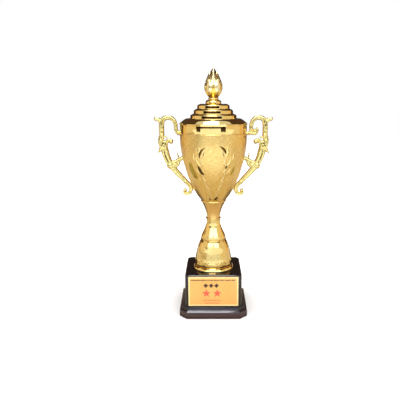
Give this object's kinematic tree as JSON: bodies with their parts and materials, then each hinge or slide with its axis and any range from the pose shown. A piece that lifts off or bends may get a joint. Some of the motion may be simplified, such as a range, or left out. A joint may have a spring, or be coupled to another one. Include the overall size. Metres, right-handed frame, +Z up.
{
  "type": "lidded cup trophy",
  "caption": "Gold lidded cup trophy with two scrolled handles, a turned stem on a threaded rod and a black plinth with a plaque; the lid lifts off.",
  "frame": {"origin": "centre of the underside of the base", "axes": "+Z up along the cup's axis, front with the plaque towards -Y, handles along X"},
  "size_m": [0.104, 0.06, 0.216],
  "materials": {
    "gold_mirror": "mirror-polished gold plate",
    "gold_satin": "fine-brushed satin gold plate with polished laurel engraving",
    "gold_cast": "bright gold plate on a die casting",
    "steel": "zinc-plated steel",
    "black_plastic": "gloss black moulded plastic",
    "plaque_gold": "orange-gold printed aluminium plate",
    "tape": "double-sided foam tape",
    "plaster": "cast plaster block, given a plastic's density",
    "cover_board": "black flocked board"
  },
  "bodies": {
    "cup": {"bottom_cover": "cover_board", "rod_nut_bottom": "steel", "base_washer": "steel", "base_ballast": "plaster", "base_shell": "black_plastic", "plaque_tape": "tape", "plaque": "plaque_gold", "foot_ring": "gold_mirror", "foot_bell": "gold_mirror", "stem_ring": "gold_mirror", "stem_trumpet": "gold_mirror", "stem_collar": "gold_mirror", "stem_cone": "gold_satin", "bead_ring": "gold_mirror", "cup_bowl": "gold_satin", "bowl_washer": "steel", "rod_nut_top": "steel", "centre_rod": "steel", "handle_left": "gold_cast", "handle_right": "gold_cast", "handle_washers": "steel", "handle_screws": "steel"},
    "lid": {"lid_shell": "gold_mirror", "lid_washer": "steel", "lid_screw": "steel", "finial_collar": "gold_mirror", "finial_bud": "gold_mirror"}
  },
  "joints": [
    {"name": "lid_lift", "type": "slide", "parent": "cup", "child": "lid", "axis": [0, 0, 1], "range_m": [0, 0.06]}
  ]
}
